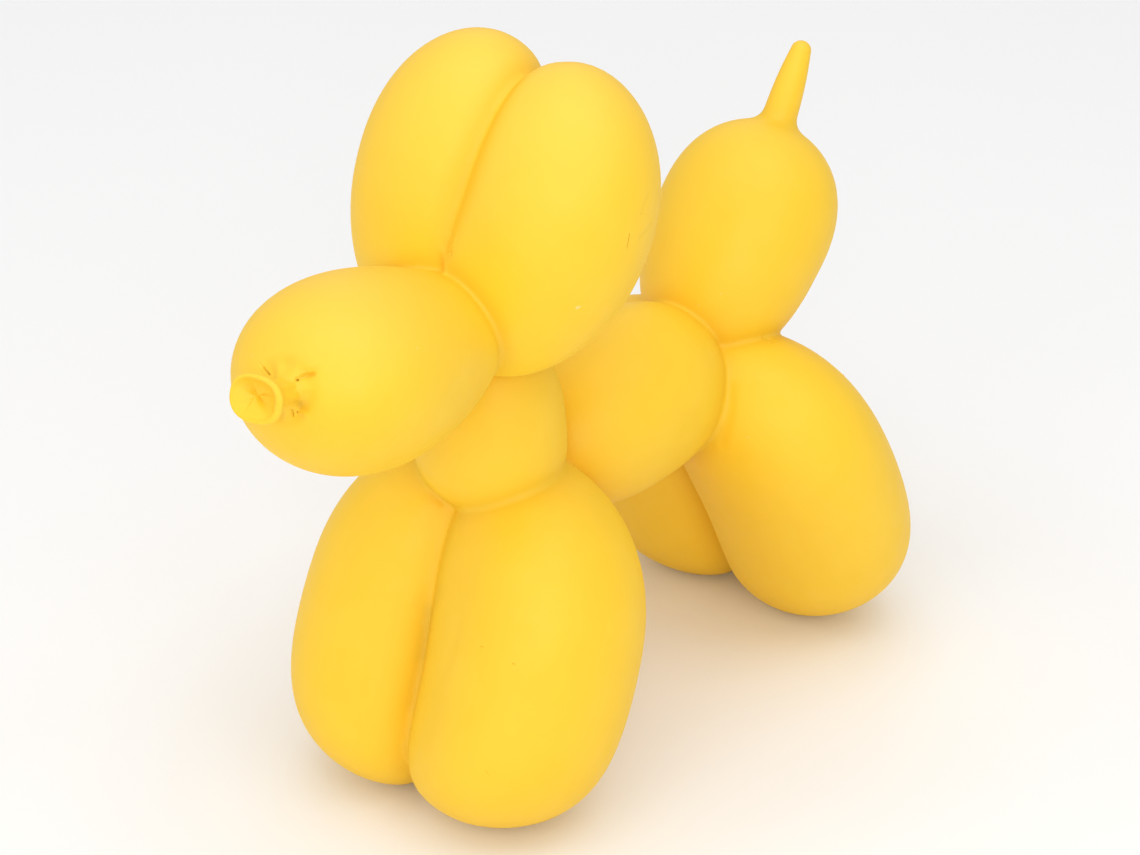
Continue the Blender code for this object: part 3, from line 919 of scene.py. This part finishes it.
def refined(places, triangles, figure):
    """Split each edge that is too long for its place, with the new points settled on the skin."""
    ends = np.stack([triangles, np.roll(triangles, -1, axis=1)], 2)
    edges, numbers = np.unique(np.sort(ends, axis=2).reshape(-1, 2), axis=0, return_inverse=True)
    first, last = places[edges[:, 0]], places[edges[:, 1]]
    centres = (first + last) / 2
    too_long = np.linalg.norm(last - first, axis=1) > figure.wanted_edge(centres) * SPLITTING_SHARE
    middles = np.full(len(edges), -1)
    middles[too_long] = len(places) + np.arange(too_long.sum())
    added = figure.settled(centres[too_long])
    return np.concatenate([places, added]), split(triangles, middles[numbers.reshape(-1, 3)])


def evened(places, triangles, figure):
    """Move each point halfway to the middle of its neighbours, and back onto the skin."""
    ends = np.stack([triangles, np.roll(triangles, -1, axis=1)], 2).reshape(-1, 2)
    total = np.zeros_like(places)
    for axis in range(3):
        total[:, axis] = np.bincount(ends[:, 0], places[ends[:, 1], axis], len(places))
    count = np.bincount(ends[:, 0], minlength=len(places))
    return figure.settled((places + total / count[:, None]) / 2)


def flatten_feet(mesh):
    """Cut the figure off at the ground and close the four flats."""
    bm = bmesh.new()
    bm.from_mesh(mesh)
    geometry = bm.verts[:] + bm.edges[:] + bm.faces[:]
    bmesh.ops.bisect_plane(bm, geom=geometry, plane_co=(0, 0, 0), plane_no=(0, 0, 1), clear_inner=True)
    open_edges = [edge for edge in bm.edges if edge.is_boundary]
    bmesh.ops.holes_fill(bm, edges=open_edges)
    bmesh.ops.triangulate(bm, faces=bm.faces)
    bm.to_mesh(mesh)
    bm.free()


def point_on(bubble, side, above):
    """The point on a bubble's far end that lies beside and above its pole by the given amounts."""
    start = bubble.centre + (side, 0, above)
    low, high = 0.0, bubble.half[2] * REACH
    for _ in range(HALVINGS):
        middle = (low + high) / 2
        outside = bubble.distance((start + bubble.along() * middle)[None, :])[0][0] > 0
        low, high = (low, middle) if outside else (middle, high)
    return start + bubble.along() * low


def camera_axes():
    """The camera's right, up and back directions and its place."""
    azimuth = math.radians(CAMERA_AZIMUTH)
    elevation = math.radians(CAMERA_ELEVATION)
    roll = math.radians(CAMERA_ROLL)
    back = np.array([math.sin(azimuth) * math.cos(elevation), -math.cos(azimuth) * math.cos(elevation),
                     math.sin(elevation)])
    level = np.array([math.cos(azimuth), math.sin(azimuth), 0.0])
    upright = np.cross(back, level)
    right = level * math.cos(roll) + upright * math.sin(roll)
    up = upright * math.cos(roll) - level * math.sin(roll)
    return right, up, back, np.array(CAMERA_TARGET) + back * CAMERA_DISTANCE


def make_camera():
    right, up, back, place = camera_axes()
    data = bpy.data.cameras.new("camera")
    data.lens = CAMERA_LENS
    data.sensor_width = SENSOR_WIDTH
    camera = bpy.data.objects.new("camera", data)
    camera.matrix_world = Matrix([(*row, 0.0) for row in zip(right, up, back)] + [(0, 0, 0, 1)])
    camera.location = place
    bpy.context.scene.collection.objects.link(camera)
    bpy.context.scene.camera = camera


def mouth_surface():
    """Rings of points in the mouth's own frame, from the funnel's dimple over the lip to the root."""
    angle = np.arange(MOUTH_SEGMENTS) * math.tau / MOUTH_SEGMENTS
    degrees = np.degrees(angle)
    cosine, sine = np.cos(angle), np.sin(angle)
    squared = (np.abs(cosine) ** LIP_SQUARENESS + np.abs(sine) ** LIP_SQUARENESS) ** (-1 / LIP_SQUARENESS)
    thick = 0.5 + 0.5 * np.cos(np.radians(degrees - LIP_THICK_ANGLE))
    bead = LIP_THIN_RADIUS + (LIP_BEAD_RADIUS - LIP_THIN_RADIUS) * thick
    outline = LIP_RADIUS * squared
    ring = outline - bead
    bead_height = MOUTH_LENGTH - bead
    turn = np.radians(degrees - FUNNEL_STEEP_ANGLE)
    steep = smooth(FUNNEL_STEEP_MIDDLE + FUNNEL_STEEP_SWING * np.cos(turn))
    curve = FUNNEL_CUSHION_CURVE + (FUNNEL_STEEP_CURVE - FUNNEL_CUSHION_CURVE) * steep
    rings = []

    def add(radius, height, shift=(0.0, 0.0)):
        across = radius * cosine + shift[0]
        upward = radius * sine + shift[1]
        rings.append(np.stack([across, upward, np.broadcast_to(height, across.shape)], 1))

    first, last = np.radians(LIP_BEAD_ANGLES)
    inner_radius = ring + bead * math.cos(first)
    inner_height = bead_height + bead * math.sin(first)
    for step in range(1, FUNNEL_STEPS):
        share = step / FUNNEL_STEPS
        depth = FUNNEL_DEPTH * (1 - share ** curve)
        for place, spread, fold in PLEATS:
            along = smooth(share / PLEAT_FULL) * (1 - smooth((share - PLEAT_FADES) / PLEAT_FADING))
            depth = depth + fold * along * fading(angle_between(degrees, place), spread)
        offset = np.array(FUNNEL_SHIFT) * (1 - share ** 2)
        add(inner_radius * share, inner_height - depth, offset)
    for step in range(BEAD_STEPS + 1):
        turn = first + (last - first) * step / BEAD_STEPS
        add(ring + bead * math.cos(turn), bead_height + bead * math.sin(turn))
    under_lip = MOUTH_LENGTH - 2 * bead
    ridges = 1 + STEM_RIDGE_SHARE * np.cos(np.radians(STEM_RIDGES * degrees + STEM_RIDGE_TURN))
    for step in range(1, STEM_STEPS + 1):
        share = step / STEM_STEPS
        stem = STEM_RADIUS * (1 + (ridges - 1) * share)
        radius = stem + (ring - stem) * (1 - share) ** STEM_CURVE
        add(radius, under_lip + (STEM_ROOT_HEIGHT - under_lip) * share)
    add(STEM_RADIUS * ridges, STEM_ROOT_HEIGHT / 2)
    add(STEM_RADIUS * ridges, 0.0)
    add(STEM_RADIUS * ridges, -MOUTH_EMBED)
    return rings, inner_height.mean() - FUNNEL_DEPTH


def make_mouth(figure):
    """The balloon's mouth as a closed grid of rings that stands on the end of the snout."""
    rings, bottom = mouth_surface()
    centre = len(rings) * MOUTH_SEGMENTS
    points = np.concatenate(rings + [[(*FUNNEL_SHIFT, bottom)], [(0.0, 0.0, -MOUTH_EMBED)]])
    points[:, 0] *= LIP_OVAL
    faces = []
    for row in range(len(rings) - 1):
        for column in range(MOUTH_SEGMENTS):
            following = (column + 1) % MOUTH_SEGMENTS
            near, far = row * MOUTH_SEGMENTS, (row + 1) * MOUTH_SEGMENTS
            faces.append((near + column, far + column, far + following, near + following))
    last = (len(rings) - 1) * MOUTH_SEGMENTS
    for column in range(MOUTH_SEGMENTS):
        following = (column + 1) % MOUTH_SEGMENTS
        faces.append((centre, column, following))
        faces.append((centre + 1, last + following, last + column))
    mesh = bpy.data.meshes.new("mouth")
    mesh.from_pydata((points @ figure.aim.T + figure.root).tolist(), [], faces)
    mouth = bpy.data.objects.new("mouth", mesh)
    bpy.context.scene.collection.objects.link(mouth)
    return mouth


def join_mouth(skin, mouth):
    union = skin.modifiers.new("mouth", "BOOLEAN")
    union.operation = "UNION"
    union.solver = "EXACT"
    union.object = mouth
    apply_modifiers(skin)
    bpy.data.objects.remove(mouth)


def keep_in_box(mesh):
    """Draw the finest skin in by the hair's breadth that it stands outside the solid's box."""
    places = vertex_places(mesh)
    middle = (cad_low + cad_high) / 2
    middle[2] = 0.0
    over = np.abs(places - middle).max(0)
    room = np.array([(cad_high - middle)[0], (cad_high - middle)[1], cad_high[2]])
    set_vertex_places(mesh, middle + (places - middle) * np.minimum(1.0, room / over))


def make_figure():
    """The whole figure as one fine closed skin."""
    bubbles = lay_out()
    figure = Figure(bubbles)
    skin = rough_figure(list(bubbles.values()))
    remesh = skin.modifiers.new("one_skin", "REMESH")
    remesh.mode = "VOXEL"
    remesh.voxel_size = SKIN_EDGE
    apply_modifiers(skin)
    keep_outer_skin(skin.data)
    places = figure.settled(vertex_places(skin.data))
    triangles = triangles_of(skin.data)
    for _ in range(REFINING_PASSES):
        places, triangles = refined(places, triangles, figure)
    for _ in range(EVENING_PASSES):
        places = evened(places, triangles, figure)
    skin.data = bpy.data.meshes.new("moulded_figure")
    skin.data.from_pydata(places.tolist(), [], triangles.tolist())
    flatten_feet(skin.data)
    join_mouth(skin, make_mouth(figure))
    places = vertex_places(skin.data)
    shade = figure.shades(places)
    # Mark darkening: partly dirt, partly painted shade in pits, slits, dents and the front-leg crease;
    # specks are pale dust
    keep_values(skin.data, "mark_dark", np.maximum(shade, 0.0))
    keep_values(skin.data, "mark_pale", np.maximum(-shade, 0.0))
    # Painted shade in the creases
    keep_values(skin.data, "crease", fading(figure.beyond_crease(places), CREASE_SHADE_REACH))
    # Painted light beside the snout's creases
    keep_values(skin.data, "painted_light_beside_snout", figure.painted_light_beside_snout(places))
    # Painted sheen on upward faces
    keep_values(skin.data, "painted_sheen", figure.painted_sheen(places))
    keep_in_box(skin.data)
    skin.data.shade_smooth()
    return skin


def add_noise(nodes, links, place, scale, detail, roughness):
    """A noise texture in the figure's own space."""
    noise = nodes.new("ShaderNodeTexNoise")
    noise.inputs["Scale"].default_value = scale
    noise.inputs["Detail"].default_value = detail
    noise.inputs["Roughness"].default_value = roughness
    links.new(place, noise.inputs["Vector"])
    return noise.outputs["Fac"]


def add_range(nodes, links, value, before, after):
    """Carry a value from one range to another."""
    carry = nodes.new("ShaderNodeMapRange")
    carry.inputs["From Min"].default_value, carry.inputs["From Max"].default_value = before
    carry.inputs["To Min"].default_value, carry.inputs["To Max"].default_value = after
    links.new(value, carry.inputs["Value"])
    return carry.outputs["Result"]


def add_blend(nodes, links, share, first, second):
    """Blend two colours, each a fixed one or a node's output, by a share."""
    blend = nodes.new("ShaderNodeMix")
    blend.data_type = "RGBA"
    links.new(share, blend.inputs["Factor"])
    for socket, colour in ((blend.inputs["A"], first), (blend.inputs["B"], second)):
        if isinstance(colour, tuple):
            socket.default_value = colour
        else:
            links.new(colour, socket)
    return blend.outputs["Result"]


def add_bump(nodes, links, value, height):
    """Raise the surface's shading by a value, up to a height in metres."""
    bump = nodes.new("ShaderNodeBump")
    bump.inputs["Strength"].default_value = 1.0
    bump.inputs["Distance"].default_value = height
    links.new(value, bump.inputs["Height"])
    return bump


def add_stored(nodes, name):
    """A value that the mesh keeps for each vertex."""
    stored = nodes.new("ShaderNodeAttribute")
    stored.attribute_name = name
    return stored.outputs["Fac"]


def make_skin_material():
    """Matte moulded yellow: faint clouds of colour, a fine grain, a painted sheen on upward faces, painted
    light beside the snout, painted shade in the creases, and marks darkened partly by dirt and partly by
    painted shade.
    """
    material = bpy.data.materials.new("matte_yellow")
    material.use_nodes = True
    nodes = material.node_tree.nodes
    links = material.node_tree.links
    shader = nodes["Principled BSDF"]
    place = nodes.new("ShaderNodeTexCoord").outputs["Object"]

    clouds = add_range(nodes, links, add_noise(nodes, links, place, *CLOUDS), NOISE_RANGE, (0.0, 1.0))
    colour = add_blend(nodes, links, clouds, DEEP_YELLOW, PALE_YELLOW)
    # Painted sheen: upward faces high on the figure are made paler
    colour = add_blend(nodes, links, add_stored(nodes, "painted_sheen"), colour, SHEEN_YELLOW)
    # Painted light beside the snout's creases
    colour = add_blend(nodes, links, add_stored(nodes, "painted_light_beside_snout"), colour, PAINTED_LIGHT_YELLOW)
    # Painted shade in the creases
    colour = add_blend(nodes, links, add_stored(nodes, "crease"), colour, CREASE_SHADE_YELLOW)
    # Marks darkened partly by dirt and partly by painted shade
    colour = add_blend(nodes, links, add_stored(nodes, "mark_dark"), colour, DIRT_AND_SHADE)
    colour = add_blend(nodes, links, add_stored(nodes, "mark_pale"), colour, DUST)
    links.new(colour, shader.inputs["Base Color"])

    worn = add_range(nodes, links, add_noise(nodes, links, place, *WEAR), NOISE_RANGE, ROUGHNESS_RANGE)
    links.new(worn, shader.inputs["Roughness"])
    shader.inputs["Specular IOR Level"].default_value = SPECULAR

    broad = add_bump(nodes, links, add_noise(nodes, links, place, *WAVES), WAVE_HEIGHT)
    fine = add_bump(nodes, links, add_noise(nodes, links, place, *GRAIN), GRAIN_HEIGHT)
    links.new(broad.outputs["Normal"], fine.inputs["Normal"])
    links.new(fine.outputs["Normal"], shader.inputs["Normal"])
    return material


def make_floor():
    mesh = bpy.data.meshes.new("floor")
    bm = bmesh.new()
    bmesh.ops.create_grid(bm, x_segments=1, y_segments=1, size=FLOOR_HALF_WIDTH)
    bm.to_mesh(mesh)
    bm.free()
    floor = bpy.data.objects.new("floor", mesh)
    bpy.context.scene.collection.objects.link(floor)
    material = bpy.data.materials.new("floor")
    material.use_nodes = True
    shader = material.node_tree.nodes["Principled BSDF"]
    shader.inputs["Base Color"].default_value = FLOOR_COLOUR
    shader.inputs["Roughness"].default_value = FLOOR_ROUGHNESS
    floor.data.materials.append(material)
    floor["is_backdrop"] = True


def make_light():
    """A white tent all around, with large soft lamps outside it."""
    world = bpy.data.worlds.new("studio")
    world.use_nodes = True
    world.node_tree.nodes["Background"].inputs["Color"].default_value = WHITE
    world.node_tree.nodes["Background"].inputs["Strength"].default_value = TENT_STRENGTH
    bpy.context.scene.world = world
    bpy.context.scene.view_settings.view_transform = "Standard"
    target = Vector(CAMERA_TARGET)
    for name, azimuth, elevation, size, power in LAMPS:
        lamp = bpy.data.lights.new(name, "AREA")
        lamp.shape = "DISK"
        lamp.size = size
        lamp.energy = power
        turn = math.radians(CAMERA_AZIMUTH + azimuth)
        rise = math.radians(elevation)
        way = Vector((math.sin(turn) * math.cos(rise), -math.cos(turn) * math.cos(rise), math.sin(rise)))
        holder = bpy.data.objects.new(name, lamp)
        holder.location = target + way * LAMP_DISTANCE
        holder.rotation_euler = way.to_track_quat("Z", "Y").to_euler()
        bpy.context.scene.collection.objects.link(holder)


make_camera()
skin = make_figure()
skin.data.materials.clear()
skin.data.materials.append(make_skin_material())
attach(skin, "root")
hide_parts("balloon_dog")
make_floor()
make_light()
